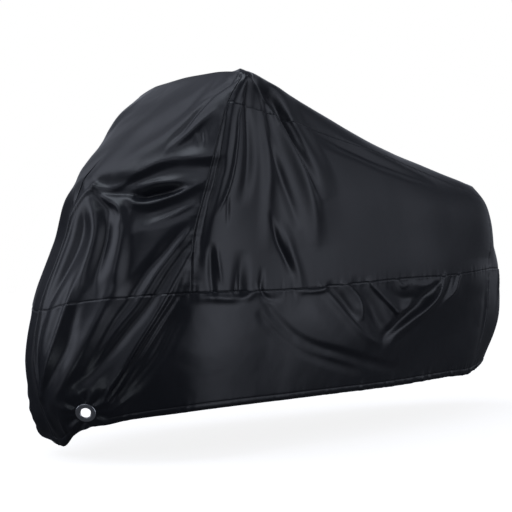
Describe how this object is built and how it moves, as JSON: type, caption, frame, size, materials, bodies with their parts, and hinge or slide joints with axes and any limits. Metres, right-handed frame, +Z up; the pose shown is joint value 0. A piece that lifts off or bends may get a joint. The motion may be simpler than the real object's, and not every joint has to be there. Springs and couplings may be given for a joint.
{
  "type": "motorcycle cover",
  "caption": "Fitted black coated fabric cover for a parked motorcycle, hollow and open below, with sewn panels, an elastic hem and metal eyelets by the front hem.",
  "frame": {"origin": "the point under the top of the cover, just behind the top edge of the front, where what it covers holds it up", "axes": "+Z up, +X towards the tail of the cover, -Y towards the side that the picture shows"},
  "size_m": [2.2622, 0.7478, 1.2791],
  "materials": {
    "cover_cloth": "black coated polyester with a soft satin shine",
    "eyelet_metal": "polished plated metal"
  },
  "bodies": {
    "root": {"spine_panel": "cover_cloth", "front_panel_near": "cover_cloth", "front_panel_far": "cover_cloth", "side_panel_near": "cover_cloth", "side_panel_far": "cover_cloth", "skirt_near": "cover_cloth", "skirt_far": "cover_cloth", "skirt_tail": "cover_cloth", "eyelet_patch_near": "cover_cloth", "eyelet_patch_far": "cover_cloth", "eyelet_ring_near": "eyelet_metal", "eyelet_ring_far": "eyelet_metal"}
  },
  "joints": []
}
